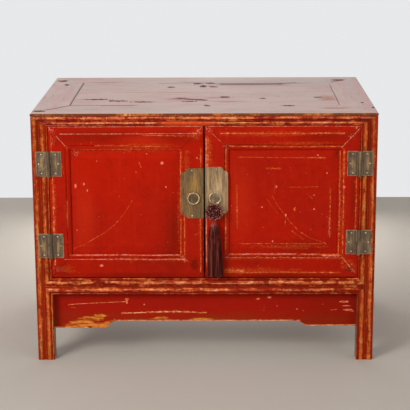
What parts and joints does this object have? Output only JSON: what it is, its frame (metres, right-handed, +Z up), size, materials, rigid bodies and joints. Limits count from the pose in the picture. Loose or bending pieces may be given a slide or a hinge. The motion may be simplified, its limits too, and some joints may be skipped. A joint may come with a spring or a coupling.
{
  "type": "kang cabinet",
  "caption": "Low cabinet with paired frame-and-panel doors, reeded posts that run down as legs, a mitred top, brass strap hinges, face plates, ring pulls and a hanging tassel.",
  "frame": {"origin": "on the floor, under the middle of the whole cabinet with its ring pulls and tassel", "axes": "+X to the viewer's right along the cabinet, +Y to the back, the doors face -Y, +Z up"},
  "size_m": [0.86, 0.6166, 0.643],
  "materials": {
    "lacquer_red": "worn satin cinnabar lacquer",
    "lacquer_worn": "lacquer rubbed through to ochre on the ridges",
    "lacquer_top": "faded lacquer worn to a greyish tan",
    "bare_wood": "unlacquered softwood, dull",
    "brass_plate": "dull aged brass with a brushed upright grain",
    "brass_ring": "handled brass, brighter than the plates",
    "brass_nails": "pale worn brass",
    "tassel_silk": "dark burgundy silk threads",
    "tassel_binding": "wound thread, lighter and pinkish"
  },
  "bodies": {
    "carcass": {"apron_front": "lacquer_red", "apron_left": "lacquer_red", "apron_right": "lacquer_red", "back_board_left": "bare_wood", "back_board_right": "bare_wood", "back_muntin": "bare_wood", "bottom_batten": "bare_wood", "bottom_board_front": "bare_wood", "bottom_board_rear": "bare_wood", "door_stop_bottom": "bare_wood", "door_stop_top": "bare_wood", "hinge_pins": "brass_plate", "lower_rail_front": "lacquer_worn", "lower_rail_left": "lacquer_worn", "lower_rail_rear": "lacquer_worn", "lower_rail_right": "lacquer_worn", "post_front_left": "lacquer_worn", "post_front_right": "lacquer_worn", "post_hinge_leaves_left": "brass_plate", "post_hinge_leaves_right": "brass_plate", "post_hinge_nails": "brass_nails", "post_rear_left": "lacquer_worn", "post_rear_right": "lacquer_worn", "side_panel_left": "lacquer_red", "side_panel_right": "lacquer_red", "top_battens": "bare_wood", "top_board_front": "lacquer_top", "top_board_rear": "lacquer_top", "top_rail_front": "lacquer_top", "top_rail_left": "lacquer_top", "top_rail_rear": "lacquer_top", "top_rail_right": "lacquer_top"},
    "left_door": {"left_door_bottom_rail": "lacquer_red", "left_door_face_plate": "brass_plate", "left_door_hinge_leaves": "brass_plate", "left_door_hinge_stile": "lacquer_red", "left_door_lock_stile": "lacquer_red", "left_door_nails": "brass_nails", "left_door_panel": "lacquer_red", "left_door_panel_battens": "bare_wood", "left_door_ring_staple": "brass_ring", "left_door_top_rail": "lacquer_red"},
    "left_ring": {"left_door_ring_pull": "brass_ring"},
    "right_door": {"right_door_bottom_rail": "lacquer_red", "right_door_face_plate": "brass_plate", "right_door_hinge_leaves": "brass_plate", "right_door_hinge_stile": "lacquer_red", "right_door_lock_stile": "lacquer_red", "right_door_nails": "brass_nails", "right_door_panel": "lacquer_red", "right_door_panel_battens": "bare_wood", "right_door_ring_staple": "brass_ring", "right_door_top_rail": "lacquer_red"},
    "right_ring": {"right_door_ring_pull": "brass_ring"},
    "tassel": {"tassel_head": "tassel_binding", "tassel_knot": "tassel_silk", "tassel_skirt": "tassel_silk"},
    "tassel_loop": {"tassel_loop": "tassel_silk"}
  },
  "joints": [
    {"name": "left_door_swing", "type": "hinge", "parent": "carcass", "child": "left_door", "pos_m": [-0.387, -0.28465, 0.416], "axis": [0, 0, -1], "range_deg": [0, 170]},
    {"name": "right_door_swing", "type": "hinge", "parent": "carcass", "child": "right_door", "pos_m": [0.387, -0.28465, 0.416], "axis": [0, 0, 1], "range_deg": [0, 170]},
    {"name": "left_ring_lift", "type": "hinge", "parent": "left_door", "child": "left_ring", "pos_m": [-0.027, -0.28615, 0.4425], "axis": [-1, 0, 0], "range_deg": [0, 170]},
    {"name": "right_ring_lift", "type": "hinge", "parent": "right_door", "child": "right_ring", "pos_m": [0.027, -0.28615, 0.4437], "axis": [-1, 0, 0], "range_deg": [0, 170]},
    {"name": "tassel_loop_turn", "type": "hinge", "parent": "right_ring", "child": "tassel_loop", "pos_m": [0.027, -0.28615, 0.4157], "axis": [-1, 0, 0], "range_deg": [-170, 0]},
    {"name": "tassel_sway", "type": "hinge", "parent": "tassel_loop", "child": "tassel", "pos_m": [0.027, -0.28615, 0.4157], "axis": [0, 1, 0], "range_deg": [-25, 25]}
  ],
  "couplings": [
    {"joint": "tassel_loop_turn", "follows": "right_ring_lift", "ratio": -1}
  ]
}
